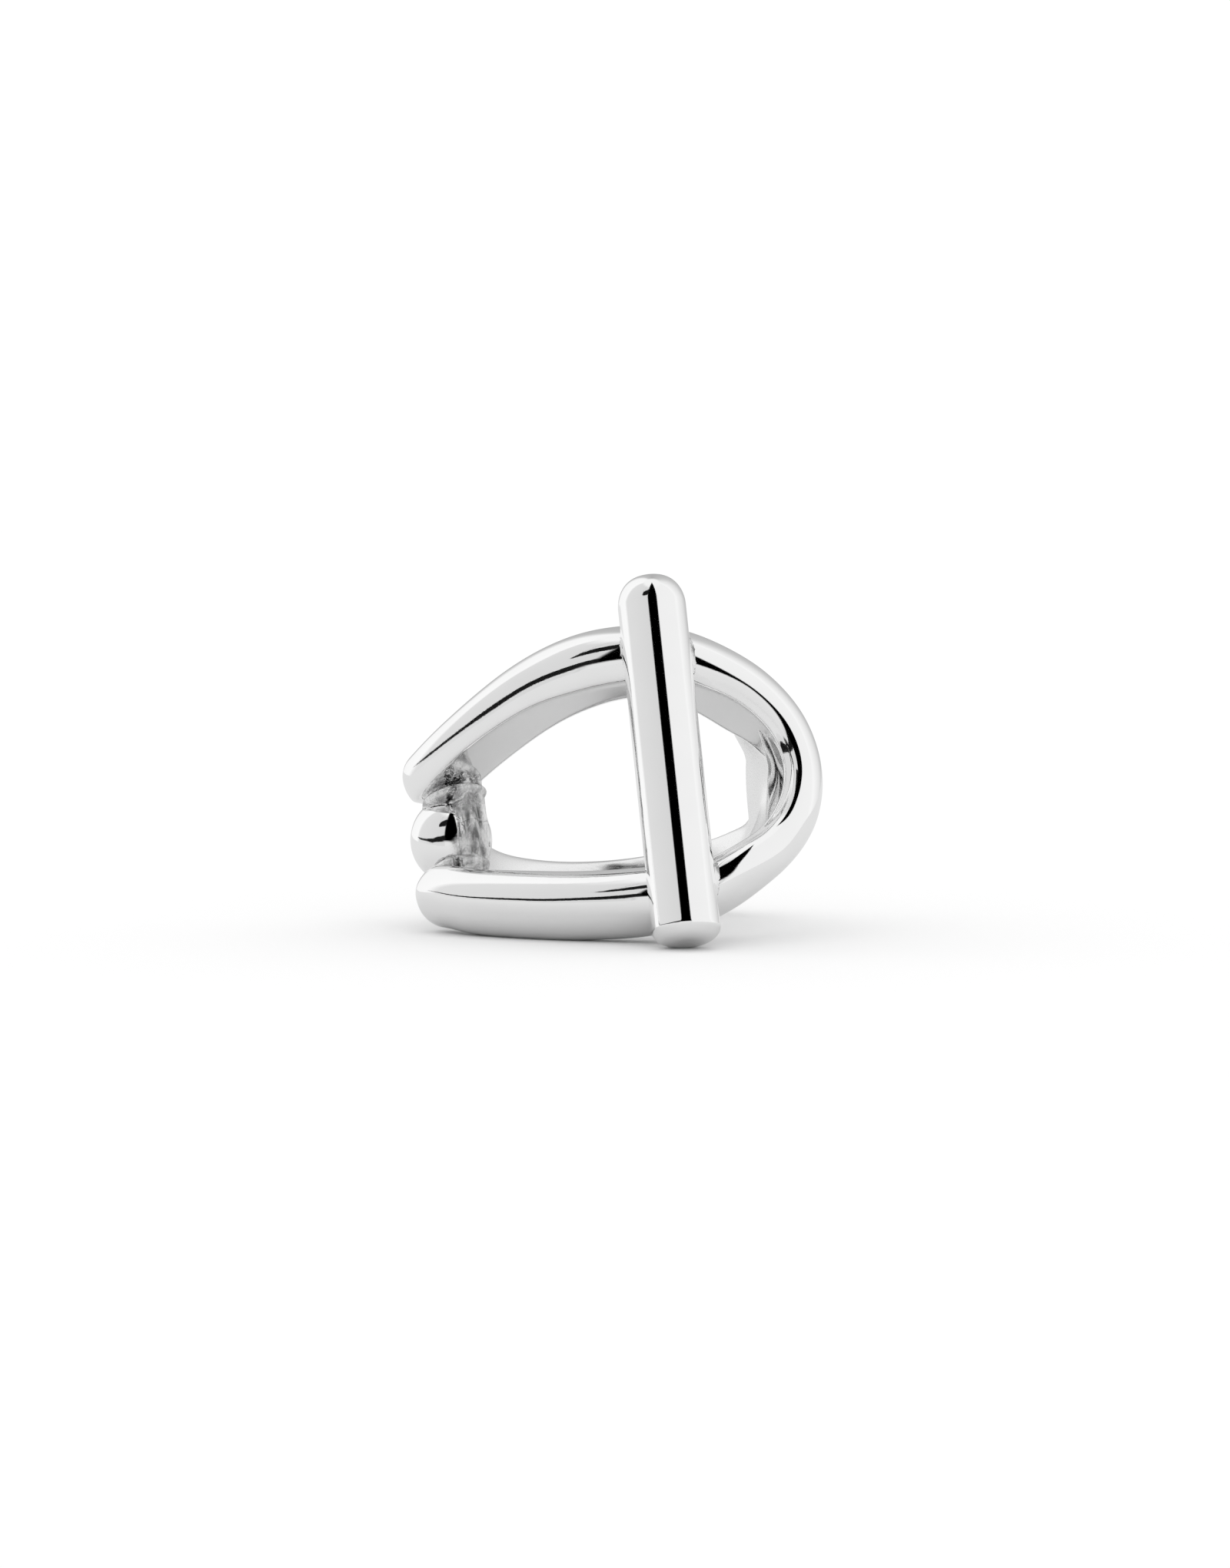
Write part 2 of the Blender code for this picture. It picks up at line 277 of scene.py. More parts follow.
def rod_sections(edge_bearing, edge_out, rear_out, rear_front, keel, keel_turn):
    """Section of the rod at each station, outward and forward, in rod radii (rings, points, 2).

    The rod is round in front and outside. Inside it has a flat wall, from a fairly crisp front
    edge to a softer rear edge.
    """
    start = np.pi / 2 + np.radians(edge_bearing)
    rear_angle = np.arctan2(rear_front, rear_out)
    stop = np.where(rear_angle > 0, rear_angle - 2 * np.pi, rear_angle)
    along = np.linspace(0, 1, ARC_POINTS)[None, :]
    angle = start[:, None] + (stop - start)[:, None] * along
    gone = np.degrees(start[:, None] - angle)
    left = np.degrees(angle - stop[:, None])
    rear_radius = np.hypot(rear_out, rear_front)
    radius = 1 + (edge_out[:, None] - 1) * (1 - smoothstep(0, EDGE_SPAN, gone))
    radius += (rear_radius[:, None] - 1) * (1 - smoothstep(0, REAR_SPAN, left))
    keel_angle = np.pi / 2 - np.radians(keel_turn)[:, None]
    radius += KEEL_HEIGHT * keel[:, None] * np.exp(-((angle - keel_angle) / KEEL_SPREAD) ** 2)
    groove = np.clip(1 - edge_out, 0, GROOVE_FULL_AT)[:, None] / GROOVE_FULL_AT
    radius -= GROOVE_DEPTH * groove * np.sin(np.pi * np.clip(gone / GROOVE_SPAN, 0, 1))
    arc = np.stack([radius * np.cos(angle), radius * np.sin(angle)], axis=-1)
    t = (np.arange(1, WALL_POINTS + 1) / (WALL_POINTS + 1))[None, :, None]
    wall = arc[:, -1:] * (1 - t) + arc[:, :1] * t
    section = np.concatenate([arc, wall], axis=1)
    index = np.arange(section.shape[1])
    from_edge = np.minimum(index, section.shape[1] - index)
    from_rear = np.abs(index - (ARC_POINTS - 1))
    for step in range(REAR_PASSES):
        near_edge = np.where((from_edge < EDGE_POINTS) & (step < EDGE_POINTS), 0.5, 0.0)
        near_rear = np.where(from_rear < REAR_POINTS, 0.5, 0.0)
        weight = np.maximum(near_edge, near_rear)[None, :, None]
        middle = 0.5 * (np.roll(section, 1, axis=1) + np.roll(section, -1, axis=1))
        section = section + weight * (middle - section)
    return section


def loop_mesh():
    """The horseshoe loop: the rod swept along its bent line, with domed ends."""
    rows = smooth_through(LOOP_STATIONS, STEPS_PER_SPAN)
    centre = loop_points(rows[:, 0], rows[:, 1])
    tangent = unit(np.gradient(centre, axis=0))
    swing = lower_arm_share(rows[:, 0], rows[:, 1])
    crest = LOOP_CREST[0] + swing * (LOWER_CREST_X - LOOP_CREST[0])
    bend = LOOP_BEND_RADIUS + swing * (LOWER_BEND_RADIUS - LOOP_BEND_RADIUS)
    lean = np.arcsin((rows[:, 0] - crest) / bend)
    front = np.stack([np.sin(lean), -np.cos(lean), 0 * lean], axis=-1)
    front = unit(front - (front * tangent).sum(1, keepdims=True) * tangent)
    outward = -np.cross(tangent, front)
    section = rod_sections(*rows[:, 3:9].T)
    radius = rows[:, 2][:, None, None]

    def rings(at, shift, scale):
        shape = section[at][None] * scale[:, None, None] * radius[at]
        return (centre[at] + shift[:, None] * tangent[at])[:, None] \
            + shape[..., :1] * outward[at] + shape[..., 1:] * front[at]

    angle = 0.5 * np.pi * (np.arange(DOME_RINGS) + 0.25) / (DOME_RINGS + 0.25)
    body = centre[:, None] + radius * (section[..., :1] * outward[:, None]
                                       + section[..., 1:] * front[:, None])
    head = rings(0, -radius[0, 0, 0] * np.cos(angle), np.sin(angle))
    tail = rings(-1, radius[-1, 0, 0] * np.cos(angle[::-1]), np.sin(angle[::-1]))
    return skin(np.concatenate([head, body, tail]))


def bar_mesh():
    """The round toggle bar: small flats at its ends, with a full rounding."""
    def end(length):
        """Radius and height of the rings from the middle of an end to the straight part."""
        corner = 0.5 * np.pi * np.arange(BAR_END_STEPS + 1) / BAR_END_STEPS
        radius = BAR_RADIUS - BAR_END_ROUNDING * (1 - np.sin(corner))
        height = BAR_LENGTH / 2 - length * (1 - np.cos(corner))
        flat = radius[0] * np.array(BAR_FLAT_RINGS)
        return np.append(flat, radius), np.append(np.full(len(flat), BAR_LENGTH / 2), height)

    radius, height = end(BAR_TOP_ROUNDING)
    foot_radius, foot_height = end(BAR_FOOT_ROUNDING)
    middle = np.linspace(height[-1], -foot_height[-1], BAR_RINGS)[1:-1]
    radius = np.concatenate([radius, np.full(len(middle), BAR_RADIUS), foot_radius[::-1]])
    height = np.concatenate([height, middle, -foot_height[::-1]])
    turn = 2 * np.pi * np.arange(BAR_SIDES) / BAR_SIDES
    rings = np.empty((len(radius), BAR_SIDES, 3))
    rings[..., 0] = BAR_CENTRE[0] + radius[:, None] * np.cos(turn)
    rings[..., 1] = BAR_CENTRE[1] + radius[:, None] * np.sin(turn)
    rings[..., 2] = height[:, None]
    return skin(rings)


def ball_mesh():
    """The small oval ball."""
    polar = np.pi * (np.arange(BALL_RINGS) + 0.5) / BALL_RINGS
    turn = 2 * np.pi * np.arange(BALL_SIDES) / BALL_SIDES
    rings = np.empty((BALL_RINGS, BALL_SIDES, 3))
    rings[..., 0] = BALL_CENTRE[0] + BALL_RADII[0] * np.sin(polar)[:, None] * np.cos(turn)
    rings[..., 1] = BALL_CENTRE[1] + BALL_RADII[1] * np.sin(polar)[:, None] * np.sin(turn)
    rings[..., 2] = BALL_CENTRE[2] + BALL_RADII[2] * np.cos(polar)[:, None]
    return skin(rings)


def shank_mesh():
    """The shank: a rounded band round the back of the finger, wider at both ends."""
    rows = smooth_through(SHANK_STATIONS, STEPS_PER_SPAN)
    degrees, offset, height, half_width, thickness = rows.T
    bearing = np.radians(degrees)
    outward = np.stack([np.sin(bearing), -np.cos(bearing), 0 * bearing], axis=-1)
    middle = outward * (HOLE_RADIUS + offset + thickness / 2)[:, None]
    middle[:, 2] = height
    turn = 2 * np.pi * (np.arange(SHANK_SIDES) + 0.5) / SHANK_SIDES
    squareness = np.where(np.cos(turn) < 0, SHANK_INNER_SQUARENESS, SHANK_OUTER_SQUARENESS)
    across = np.copysign(np.abs(np.cos(turn)) ** squareness, np.cos(turn))
    along = np.copysign(np.abs(np.sin(turn)) ** SHANK_SIDE_SQUARENESS, np.sin(turn))
    rings = middle[:, None] + outward[:, None] * (thickness / 2)[:, None, None] * across[:, None]
    rings[..., 2] += half_width[:, None] * along

    growing, fading = SHOULDER_LEAN_SPANS
    near_bow = smoothstep(*growing, degrees) * (1 - smoothstep(*fading, degrees))
    lean = SHOULDER_LEAN * near_bow[:, None] * smoothstep(SHOULDER_EDGE, 1.0, np.abs(along))
    rings -= outward[:, None] * lean[..., None]
    forward = np.stack([-np.cos(bearing), -np.sin(bearing), 0 * bearing], axis=-1)
    reach = SHOULDER_REACH * (1 - smoothstep(*SHOULDER_REACH_SPAN, degrees))
    rings += forward[:, None] * (reach[:, None] * along ** 2)[..., None]
    return skin(rings)


# ---- solder and fillets, from distance fields ---------------------------------------------------
def distance_to(made):
    """Signed distance to a closed body, as a function of an array of points."""
    points, faces = made
    if signed_volume(points, faces) < 0:
        faces = [face[::-1] for face in faces]
    tree = BVHTree.FromPolygons(points.tolist(), faces)

    def distance(at):
        out = np.empty(len(at))
        for i, point in enumerate(at.tolist()):
            nearest, normal, _, gap = tree.find_nearest(point)
            side = ((point[0] - nearest[0]) * normal[0] + (point[1] - nearest[1]) * normal[1]
                    + (point[2] - nearest[2]) * normal[2])
            out[i] = gap if side > 0 else -gap
        return out
    return distance


def ellipsoid_distance(centre, radii):
    """Nearly the signed distance to an ellipsoid, as a function of an array of points."""
    centre, radii = np.array(centre), np.array(radii)

    def distance(at):
        scaled = (at - centre) / radii
        size = np.linalg.norm(scaled, axis=1)
        slope = np.linalg.norm(scaled / radii, axis=1) / np.maximum(size, 1e-6)
        return (size - 1) / np.maximum(slope, 1e-6)
    return distance


def soft_min(a, b, width):
    """The smaller of two distances, rounded off where they differ by less than the width."""
    return np.minimum(a, b) - np.maximum(width - np.abs(a - b), 0) ** 2 / (4 * width)


def value_noise(at, cell, seed):
    """Smooth noise from -1 to 1 on a lattice of the given cell size."""
    scaled = at / cell
    base = np.floor(scaled).astype(np.int64)
    t = scaled - base
    t = t * t * (3 - 2 * t)
    total = np.zeros(len(at))
    for corner in range(8):
        step = np.array([corner & 1, corner >> 1 & 1, corner >> 2 & 1])
        key = ((base + step) * np.array([73856093, 19349663, 83492791])).sum(1) + seed * 7919
        key = (key ^ key >> 13) * 1274126177
        value = (key >> 8 & 0xFFFF) / 32767.5 - 1
        total += value * np.where(step, t, 1 - t).prod(axis=1)
    return total


def surface_net(field, low, pitch):
    """Vertices and faces of the surface where the field, sampled on a grid, changes sign."""
    inside = field < 0
    shape = np.array(field.shape)
    corners = [(i, j, k) for i in (0, 1) for j in (0, 1) for k in (0, 1)]

    def block(grid, corner):
        return grid[tuple(slice(c, n - 1 + c) for c, n in zip(corner, shape))]

    count = sum(block(inside, corner).astype(int) for corner in corners)
    active = (count > 0) & (count < 8)
    cells = np.argwhere(active)
    index = -np.ones(shape - 1, int)
    index[active] = np.arange(len(cells))
    values = [field[tuple((cells + corner).T)] for corner in corners]
    middle = np.zeros((len(cells), 3))
    crossings = np.zeros(len(cells))
    for a in range(8):
        for b in range(a + 1, 8):
            if sum(abs(p - q) for p, q in zip(corners[a], corners[b])) != 1:
                continue
            cross = (values[a] < 0) != (values[b] < 0)
            t = np.where(cross, values[a] / np.where(cross, values[a] - values[b], 1), 0)
            spot = np.array(corners[a]) + t[:, None] * np.subtract(corners[b], corners[a])
            middle += np.where(cross[:, None], spot, 0)
            crossings += cross
    points = np.array(low) + pitch * (cells + middle / crossings[:, None])
    faces = []
    for axis in range(3):
        step = np.eye(3, dtype=int)
        along, b, c = step[axis], step[(axis + 1) % 3], step[(axis + 2) % 3]
        lower = inside[tuple(slice(0, n - s) for n, s in zip(shape, along))]
        upper = inside[tuple(slice(s, n) for n, s in zip(shape, along))]
        at = np.argwhere(lower != upper)
        at = at[(at[:, (axis + 1) % 3] > 0) & (at[:, (axis + 2) % 3] > 0)]
        at = at[(at < shape - 1).all(axis=1)]
        quad = np.stack([index[tuple((at - shift).T)] for shift in (0 * b, b, b + c, c)], axis=1)
        flip = ~inside[tuple(at.T)]
        quad[flip] = quad[flip][:, ::-1]
        faces += quad[(quad >= 0).all(axis=1)].tolist()
    return points, faces


def blend_body(low, high, pitch, fields):
    """The body where both fields are negative: the outer surface, and the limit behind it.

    A coarse pass finds where the body is, and only there the fine grid is worked out.
    """
    low, high = np.array(low, float), np.array(high, float)
    coarse = pitch * COARSE_STEPS
    counts = np.ceil((high - low) / coarse).astype(int) + 1
    grid = np.stack(np.meshgrid(*[np.arange(n) for n in counts], indexing="ij"), axis=-1)
    rough = np.maximum(*fields((low + coarse * grid).reshape(-1, 3))).reshape(counts)
    fine = (counts - 1) * COARSE_STEPS + 1
    spots = np.stack(np.meshgrid(*[np.arange(n) for n in fine], indexing="ij"), axis=-1)
    nearest = np.rint(spots / COARSE_STEPS).astype(int)
    values = rough[tuple(np.moveaxis(nearest, -1, 0))]
    near = np.abs(values) < coarse * COARSE_MARGIN
    values[near] = np.maximum(*fields(low + pitch * spots[near]))
    for axis in range(3):
        rim = np.moveaxis(values, axis, 0)
        rim[[0, -1]] = np.abs(rim[[0, -1]]) + 1e-3
    points, faces = surface_net(values, low, pitch)
    return settle(points, lambda at: fields(at)[0], pitch), faces


def gradient(outer, points, step=0.02):
    """Slope of a field at each point, by central differences."""
    slopes = []
    for axis in np.eye(3) * step:
        slopes.append((outer(points + axis) - outer(points - axis)) / (2 * step))
    return np.stack(slopes, axis=1)


def settle(points, outer, pitch):
    """Move the points that lie near the outer surface exactly onto it."""
    height = outer(points)
    near = np.abs(height) < pitch * 0.7
    moved = points[near]
    for _ in range(2):
        slope = gradient(outer, moved)
        size = np.maximum((slope ** 2).sum(1), 0.2)
        move = -outer(moved)[:, None] * slope / size[:, None]
        moved = moved + np.clip(move, -pitch, pitch)
    points[near] = moved
    return points


def keep_parts(made, smallest=60):
    """Drop stray crumbs, and the vertices that nothing uses."""
    points, faces = made
    faces = np.array(faces)
    label = np.arange(len(points))
    while True:
        low = label[faces].min(axis=1)
        new = label.copy()
        np.minimum.at(new, faces.ravel(), np.repeat(low, faces.shape[1]))
        new = new[new]
        if (new == label).all():
            break
        label = new
    sizes = np.bincount(label[faces[:, 0]], minlength=len(points))
    faces = faces[sizes[label[faces[:, 0]]] >= smallest]
    used = np.unique(faces)
    renumber = np.zeros(len(points), int)
    renumber[used] = np.arange(len(used))
    return points[used], renumber[faces].tolist()


def fillet_between(first, second, low, high, width):
    """The concave fillet where two bodies meet, sunk a little into both."""
    def fields(at):
        a, b = first(at), second(at)
        nearest = np.minimum(a, b)
        outer = soft_min(a, b, width)
        return outer, np.maximum(-SUNK - nearest, FEATHER - (nearest - outer))
    return keep_parts(blend_body(low, high, FILLET_PITCH, fields))


def neck_fields(loop, ball, shank):
    """The cast neck beside the ball: a fluted pillar with a collar above and a flange below.

    The function that comes back gives four distances: to the smooth pieces, to the pillar, to the
    two discs, and to all of them melted together.
    """
    pillar = ellipsoid_distance(PILLAR_CENTRE, PILLAR_RADII)
    collar = ellipsoid_distance(COLLAR_CENTRE, COLLAR_RADII)
    flange = ellipsoid_distance(FLANGE_CENTRE, FLANGE_RADII)

    def parts(at):
        turn = np.arctan2(at[:, 1] - PILLAR_CENTRE[1], at[:, 0] - PILLAR_CENTRE[0])
        flutes = FLUTE_DEPTH * np.cos(FLUTES * turn + FLUTE_TWIST * at[:, 2])
        tilted = at.copy()
        tilted[:, 2] -= COLLAR_TILT * (at[:, 0] - COLLAR_CENTRE[0])
        drawn = at * np.array(LUMP_SQUEEZE)
        lumps = LUMP_HEIGHT * value_noise(drawn, LUMP_SIZE, 1)
        lumps += CRUMB_HEIGHT * value_noise(drawn, CRUMB_SIZE, 2)
        column = pillar(at) + flutes + lumps
        discs = soft_min(collar(tilted) + COLLAR_LUMPS * lumps,
                         flange(at) + FLANGE_LUMPS * lumps, DISC_BLEND)
        a, b, c = loop(at), ball(at), shank(at)
        bodies = np.minimum(np.minimum(a, b), c)
        core = soft_min(soft_min(a, c, BODY_BLEND), b, BALL_BLEND)
        outer = soft_min(core, soft_min(column, discs, COLUMN_BLEND), NECK_BLEND)
        return bodies, column, discs, outer
    return parts


def neck_half(parts, side):
    """The upper (1) or lower (-1) half of the neck."""
    def fields(at):
        bodies, _, _, outer = parts(at)
        limit = np.maximum(-SUNK - bodies, FEATHER - (bodies - outer))
        return outer, np.maximum(limit, -side * (at[:, 2] - NECK_SPLIT))
    return keep_parts(blend_body(NECK_LOW, NECK_HIGH, NECK_PITCH, fields))


# ---- finishes -----------------------------------------------------------------------------------
CAST_ROUGHNESS = 0.14
SCRATCH_DEPTH = 0.00002     # metres
PIT_DEPTH = 0.0002


def node(tree, kind, **settings):
    """A new shader node; a setting is one of its properties or else one of its inputs."""
    made = tree.nodes.new(kind)
    for key, value in settings.items():
        if hasattr(made, key):
            setattr(made, key, value)
        else:
            made.inputs[key.replace("_", " ")].default_value = value
    return made


def spread(tree, value, to_min, to_max, from_min=0.0, from_max=1.0):
    """Map a value from one range to another."""
    made = node(tree, "ShaderNodeMapRange", From_Min=from_min, From_Max=from_max,
                To_Min=to_min, To_Max=to_max)
    tree.links.new(value, made.inputs["Value"])
    return made.outputs["Result"]


def noise(tree, place, scale, detail, roughness, squeeze=(1.0, 1.0, 1.0)):
    """Procedural noise in object coordinates (metres), squeezed by a factor on each axis."""
    mapping = node(tree, "ShaderNodeMapping", Scale=squeeze)
    tree.links.new(place, mapping.inputs["Vector"])
    made = node(tree, "ShaderNodeTexNoise", Scale=scale, Detail=detail, Roughness=roughness)
    tree.links.new(mapping.outputs["Vector"], made.inputs["Vector"])
    return made.outputs["Fac"]


def mixed(tree, share, first, second):
    """first where the share is 0, second where it is 1; each is a number or an output."""
    made = node(tree, "ShaderNodeMix", data_type="FLOAT")
    tree.links.new(share, made.inputs[0])
    for slot, value in ((2, first), (3, second)):
        if isinstance(value, (int, float)):
            made.inputs[slot].default_value = value
        else:
            tree.links.new(value, made.inputs[slot])
    return made.outputs[0]


def silver(name, shade, roughness, streak, grain):
    """Neutral silver with fine polishing lines, slight clouding, and cast grain where marked."""
    material = bpy.data.materials.new(name)
    material.use_nodes = True
    tree = material.node_tree
    link = tree.links.new
    shader = tree.nodes["Principled BSDF"]
    shader.inputs["Metallic"].default_value = 1.0
    place = node(tree, "ShaderNodeTexCoord").outputs["Object"]
    clouds = noise(tree, place, scale=420.0, detail=3.0, roughness=0.5)
    lines = noise(tree, place, scale=1.0, detail=4.0, roughness=0.6,
                  squeeze=(700.0, 9000.0, 9000.0))
    pits = noise(tree, place, scale=3800.0, detail=5.0, roughness=0.7)
    stains = noise(tree, place, scale=1500.0, detail=6.0, roughness=0.65,
                   squeeze=(1.0, 1.0, 0.35))
    cast = node(tree, "ShaderNodeAttribute", attribute_name="cast").outputs["Fac"]

    clean = spread(tree, clouds, to_min=shade - 0.02, to_max=shade + 0.02)
    stained = spread(tree, stains, to_min=0.22, to_max=0.94, from_min=0.40, from_max=0.60)
    link(mixed(tree, cast, clean, stained), shader.inputs["Base Color"])

    gloss = spread(tree, lines, to_min=roughness * 0.6, to_max=roughness * 1.4,
                   from_min=0.3, from_max=0.7)
    link(mixed(tree, cast, gloss, CAST_ROUGHNESS), shader.inputs["Roughness"])

    scratch = node(tree, "ShaderNodeBump", Strength=streak, Distance=SCRATCH_DEPTH)
    link(lines, scratch.inputs["Height"])
    pocked = node(tree, "ShaderNodeMath", operation="MULTIPLY")
    link(pits, pocked.inputs[0])
    link(cast, pocked.inputs[1])
    relief = node(tree, "ShaderNodeBump", Strength=grain, Distance=PIT_DEPTH)
    link(pocked.outputs[0], relief.inputs["Height"])
    link(scratch.outputs["Normal"], relief.inputs["Normal"])
    link(relief.outputs["Normal"], shader.inputs["Normal"])
    return material


def add_piece(name, made, material, node_name, cast=None):
    """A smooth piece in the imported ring's place, which stands for its CAD node.

    `cast` gives how rough the metal is at each point, from 0 to 1.
    """
    points, faces = made
    if signed_volume(points, faces) < 0:
        faces = [face[::-1] for face in faces]
    data = bpy.data.meshes.new(name)
    placed = points @ np.array(TO_WORLD.to_3x3()).T * MM + np.array(TO_WORLD.translation)
    data.from_pydata(placed.tolist(), [], faces)
    data.validate()
    data.shade_smooth()
    mask = data.attributes.new("cast", "FLOAT", "POINT")
    if cast is not None:
        mask.data.foreach_set("value", cast(points).astype(np.float32))
    data.materials.append(material)
    item = bpy.data.objects.new(name, data)
    bpy.context.collection.objects.link(item)
    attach(item, "root")
    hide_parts(node_name)


# ---- studio -------------------------------------------------------------------------------------
EVEN_LIGHT = 1.15
TABLE_HALF = 0.6            # metres
TABLE_TONE = 0.88
TABLE_TONE_REFLECTED = 0.68

CAMERA_ELEVATION = 4.4      # degrees
CAMERA_DISTANCE = 0.5       # metres
CAMERA_SENSOR = 36.0        # millimetres
SEEN_HEIGHT = 0.102         # metres from the picture's lower edge to its upper one, at the ring
AIM_RIGHT = 0.0002          # the camera's aim, beside the loop's crest
AIM_DOWN = 0.0001


def studio_world():
    """A white tent with a dark slit behind the camera, seen in reflections only.

    The left panel's lower edge and a gap high up beside the slit are dark as well, the tent dims
    towards the back, and every other ray sees an even white.
    """
    world = bpy.data.worlds.new("studio")
    bpy.context.scene.world = world
    world.use_nodes = True
    world.cycles.sampling_method = "NONE"
    tree = world.node_tree
    link = tree.links.new
    sky = tree.nodes["Background"]
    way = node(tree, "ShaderNodeTexCoord")
    parts = node(tree, "ShaderNodeSeparateXYZ")
    link(way.outputs["Generated"], parts.inputs[0])

    def math_node(kind, a, b=None):
        made = node(tree, "ShaderNodeMath", operation=kind)
        for slot, value in enumerate((a, b)):
            if isinstance(value, (int, float)):
                made.inputs[slot].default_value = value
            elif value is not None:
                link(value, made.inputs[slot])
        return made.outputs[0]

    def ramp(value, stops):
        """Piecewise linear level through the stops, which cover the value's whole range."""
        low, high = stops[0][0], stops[-1][0]
        scaled = math_node("DIVIDE", math_node("SUBTRACT", value, low), high - low)
        made = node(tree, "ShaderNodeValToRGB")
        ends = made.color_ramp.elements
        for at, level in stops[1:-1]:
            ends.new((at - low) / (high - low))
        for index, (at, level) in enumerate(stops):
            ends[index].position = (at - low) / (high - low)
            ends[index].color = (level, level, level, 1.0)
        link(scaled, made.inputs["Fac"])
        return made.outputs["Color"]

    def band(middle, half_size):
        """1 within half_size of the middle elevation; both are degrees divided by 100."""
        off = math_node("ABSOLUTE", math_node("SUBTRACT", height, middle))
        return math_node("LESS_THAN", off, half_size)

    # Degrees: the azimuth from behind the camera, to the right first, and the elevation.
    degree = math.degrees(1.0)
    away = math_node("MULTIPLY", parts.outputs["Y"], -1.0)
    azimuth = math_node("MULTIPLY", math_node("ARCTAN2", parts.outputs["X"], away), degree)
    elevation = math_node("MULTIPLY", math_node("ARCSINE", parts.outputs["Z"]), degree)
    height = math_node("DIVIDE", elevation, 100.0)

    walls = ramp(azimuth, ((-180, 0.45), (-164, 0.55), (-150, 0.97), (-108, 1.0), (-100, 0.76),
                           (-21, 0.70), (-18.5, 0.0), (18.5, 0.0), (21, 0.90), (93, 0.92),
                           (100, 0.97), (128, 0.80), (150, 0.58), (180, 0.45)))
    off_slit = ramp(azimuth, ((-180, 1.0), (-24, 1.0), (-18, 0.0), (18, 0.0), (24, 1.0),
                              (180, 1.0)))
    roof = ramp(elevation, ((-90, 0.0), (66, 0.0), (74, 1.0), (90, 1.0)))
    tent = mixed(tree, math_node("MULTIPLY", roof, off_slit), walls, 0.95)

    # The left panel's lower edge, thick beside the slit and thin further left; then the gap.
    edge = ramp(azimuth, ((-180, 0.05), (-90, 0.06), (-52, 0.09), (-40, 0.13), (-19, 0.17),
                          (180, 0.17)))
    edge_size = ramp(azimuth, ((-180, 0.0), (-108, 0.0), (-96, 0.014), (-74, 0.022),
                               (-56, 0.040), (-38, 0.060), (-19, 0.080), (-17, 0.0),
                               (180, 0.0)))
    tent = mixed(tree, band(edge, edge_size), tent, 0.01)
    gap = ramp(azimuth, ((-180, 0.9), (-46, 0.9), (-44, 0.46), (-19, 0.55), (180, 0.55)))
    gap_size = ramp(azimuth, ((-180, 0.0), (-48, 0.0), (-40, 0.07), (-20, 0.09), (-17, 0.0),
                              (180, 0.0)))
    tent = mixed(tree, band(gap, gap_size), tent, 0.01)

    # The slit ends a little above the horizon, and past the table's far edge it is light grey.
    low = ramp(elevation, ((-90, 1.0), (9, 1.0), (13, 0.0), (90, 0.0)))
    foot = math_node("MULTIPLY", low, math_node("SUBTRACT", 1.0, off_slit))
    tent = mixed(tree, foot, tent, 0.80)
    ground = ramp(elevation, ((-90, 1.0), (-1.5, 1.0), (0.0, 0.0), (90, 0.0)))
    seen = mixed(tree, ground, tent, 0.79)
    path = node(tree, "ShaderNodeLightPath")
    level = mixed(tree, path.outputs["Is Glossy Ray"], EVEN_LIGHT, seen)
    link(level, sky.inputs["Color"])
    sky.inputs["Strength"].default_value = 1.0


def floor():
    """A plain white table top, a little greyer in the ring's reflections."""
    half = TABLE_HALF
    data = bpy.data.meshes.new("table")
    data.from_pydata([(-half, -half, 0), (half, -half, 0), (half, half, 0), (-half, half, 0)],
                     [], [(0, 1, 2, 3)])
    material = bpy.data.materials.new("white_table")
    material.use_nodes = True
    tree = material.node_tree
    shader = tree.nodes["Principled BSDF"]
    path = node(tree, "ShaderNodeLightPath")
    tone = mixed(tree, path.outputs["Is Glossy Ray"], TABLE_TONE, TABLE_TONE_REFLECTED)
    tree.links.new(tone, shader.inputs["Base Color"])
    shader.inputs["Roughness"].default_value = 1.0
    shader.inputs["Specular IOR Level"].default_value = 0.0
    data.materials.append(material)
    item = bpy.data.objects.new("table", data)
    bpy.context.collection.objects.link(item)


def camera():
    """A long lens in front of the ring, a little above the table."""
    elevation = math.radians(CAMERA_ELEVATION)
    crest = TO_WORLD @ Vector((0.0, LOOP_CREST[1] * MM, 0.0))
    up = Vector((0.0, math.sin(elevation), math.cos(elevation)))
    toward_camera = Vector((0.0, -math.cos(elevation), math.sin(elevation)))
    aim = crest + Vector((AIM_RIGHT, 0, 0)) - up * AIM_DOWN
    data = bpy.data.cameras.new("camera")
    data.sensor_width = CAMERA_SENSOR
    data.lens = CAMERA_SENSOR * CAMERA_DISTANCE / SEEN_HEIGHT
    data.clip_start = 0.01
    item = bpy.data.objects.new("camera", data)
    item.location = aim + toward_camera * CAMERA_DISTANCE
    item.rotation_euler = (math.pi / 2 - elevation, 0.0, 0.0)
    bpy.context.collection.objects.link(item)
    bpy.context.scene.camera = item


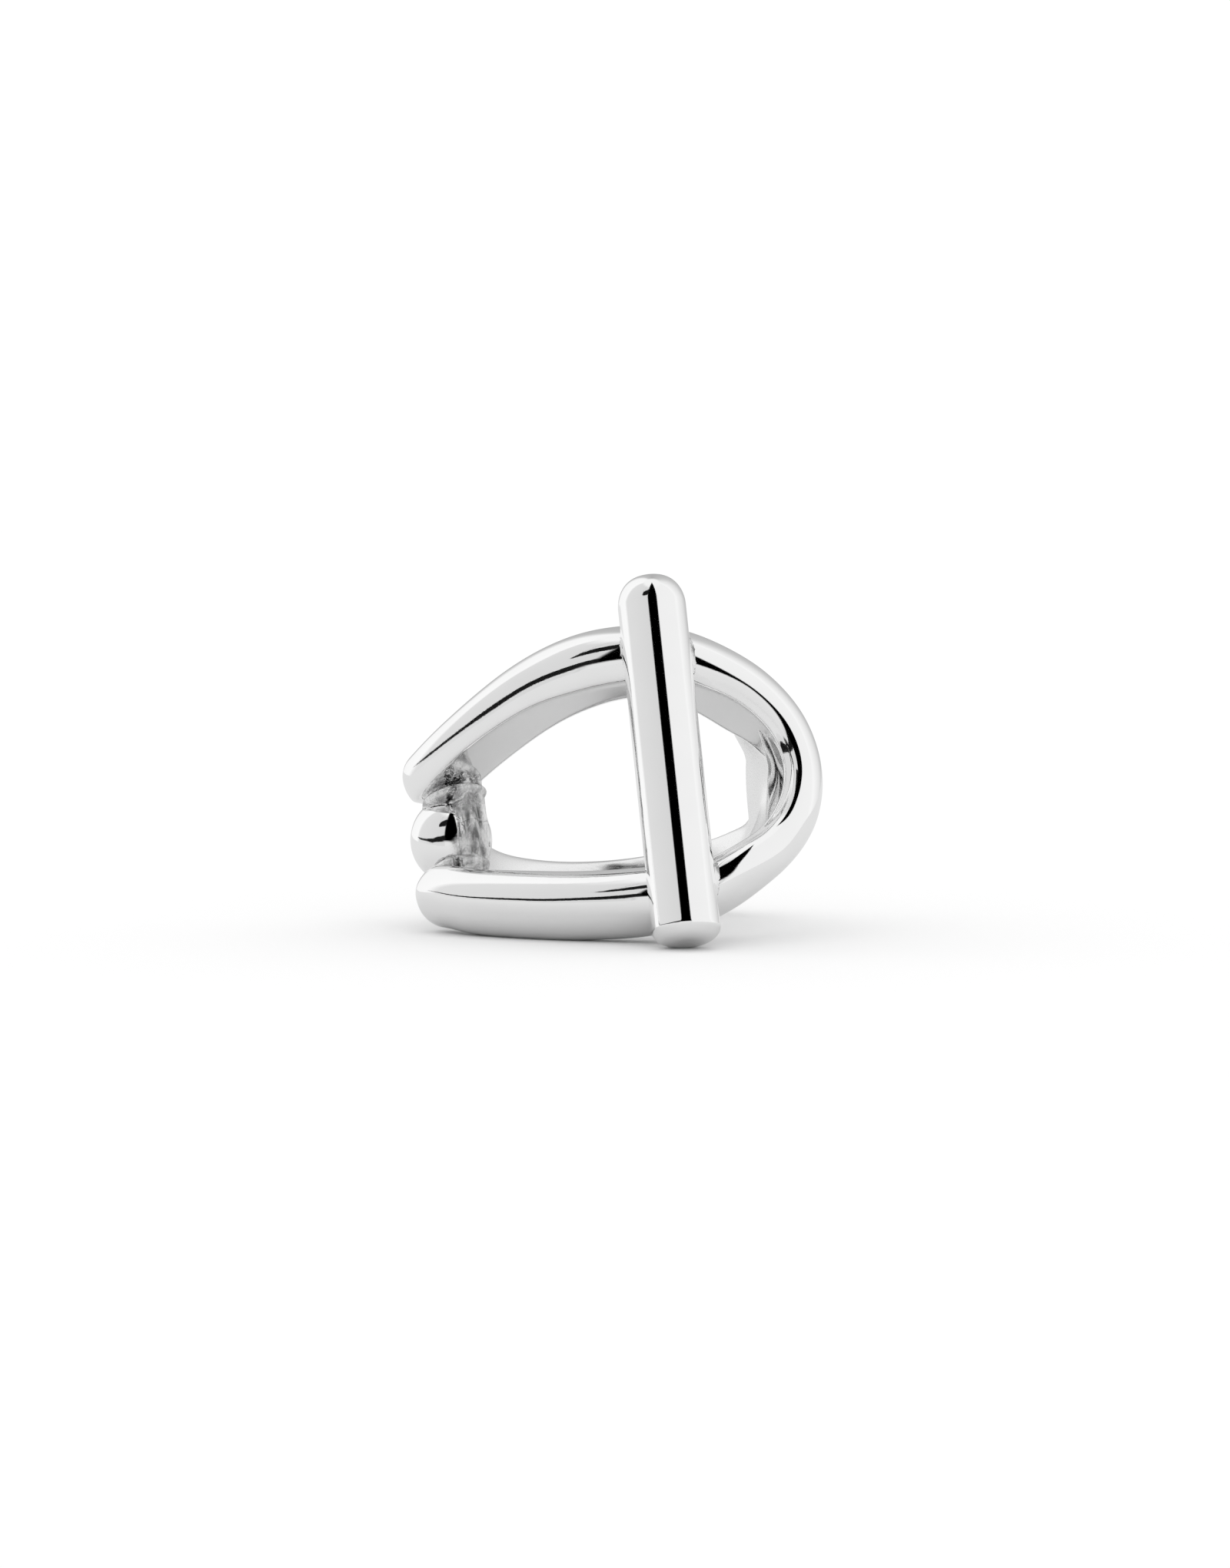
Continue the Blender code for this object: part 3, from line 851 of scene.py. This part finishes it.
def add_bar_fillets(loop, bar, satin):
    """The four fillets where the bar crosses the loop; the right ones have a rough cast spot."""
    for side, across in (("left", -1), ("right", 1)):
        for level, up in (("upper", 1), ("lower", -1)):
            crossing = np.array([BAR_CENTRE[0] + across * CROSSING_ACROSS, BAR_CENTRE[1],
                                 up * CROSSING_HEIGHT])
            made = fillet_between(loop, bar, crossing + CROSSING_LOW, crossing + CROSSING_HIGH,
                                  FILLET_SPREAD[side])

            def cast(at, side=side, spot=np.array(CAST_SPOTS[level])):
                if side == "left":
                    return np.zeros(len(at))
                return 1 - smoothstep(*CAST_SPOT_FADE, np.linalg.norm(at - spot, axis=1))
            add_piece(f"bar_fillet_{level}_{side}", made, satin, f"bar_solder_{level}_{side}",
                      cast)


def add_neck(loop, ball, shank, satin):
    """The two halves of the cast neck, rough on the pillar and less so on the two discs."""
    parts = neck_fields(loop, ball, shank)

    def cast(at):
        bodies, column, discs, _ = parts(at)
        beside = np.minimum(bodies, discs) - column
        on_column = np.clip(beside / COLUMN_CAST_FADE + 0.3, 0, 1)
        on_column *= 1 - smoothstep(*NECK_CAST_END, at[:, 0])
        on_disc = np.clip((bodies - discs) / DISC_CAST_FADE, 0, 1)
        return np.maximum(on_column, DISC_CAST * on_disc)
    for level, side in (("upper", 1), ("lower", -1)):
        add_piece(f"neck_{level}", neck_half(parts, side), satin, f"ball_solder_{level}",
                  cast)


def main():
    polished = silver("polished_silver", shade=0.95, roughness=0.05, streak=0.05, grain=0.6)
    satin = silver("satin_silver", shade=0.90, roughness=0.24, streak=0.03, grain=0.8)
    loop, bar, ball, shank = loop_mesh(), bar_mesh(), ball_mesh(), shank_mesh()
    add_piece("smooth_loop", loop, polished, "front_loop")
    add_piece("smooth_bar", bar, polished, "toggle_bar")
    pillar = ellipsoid_distance(PILLAR_CENTRE, PILLAR_RADII)

    def beside_pillar(at):
        near = 1 - smoothstep(*BALL_CAST_FADE, pillar(at))
        return near * (1 - smoothstep(*BALL_CAST_HEIGHTS, at[:, 2]))
    add_piece("smooth_ball", ball, polished, "ball", beside_pillar)
    add_piece("smooth_shank", shank, satin, "shank")
    to_loop = distance_to(loop)
    add_bar_fillets(to_loop, distance_to(bar), satin)
    add_neck(to_loop, ellipsoid_distance(BALL_CENTRE, BALL_RADII), distance_to(shank), satin)
    studio_world()
    floor()
    camera()
    bpy.context.scene.view_settings.view_transform = "Standard"
    bpy.context.view_layer.update()


main()
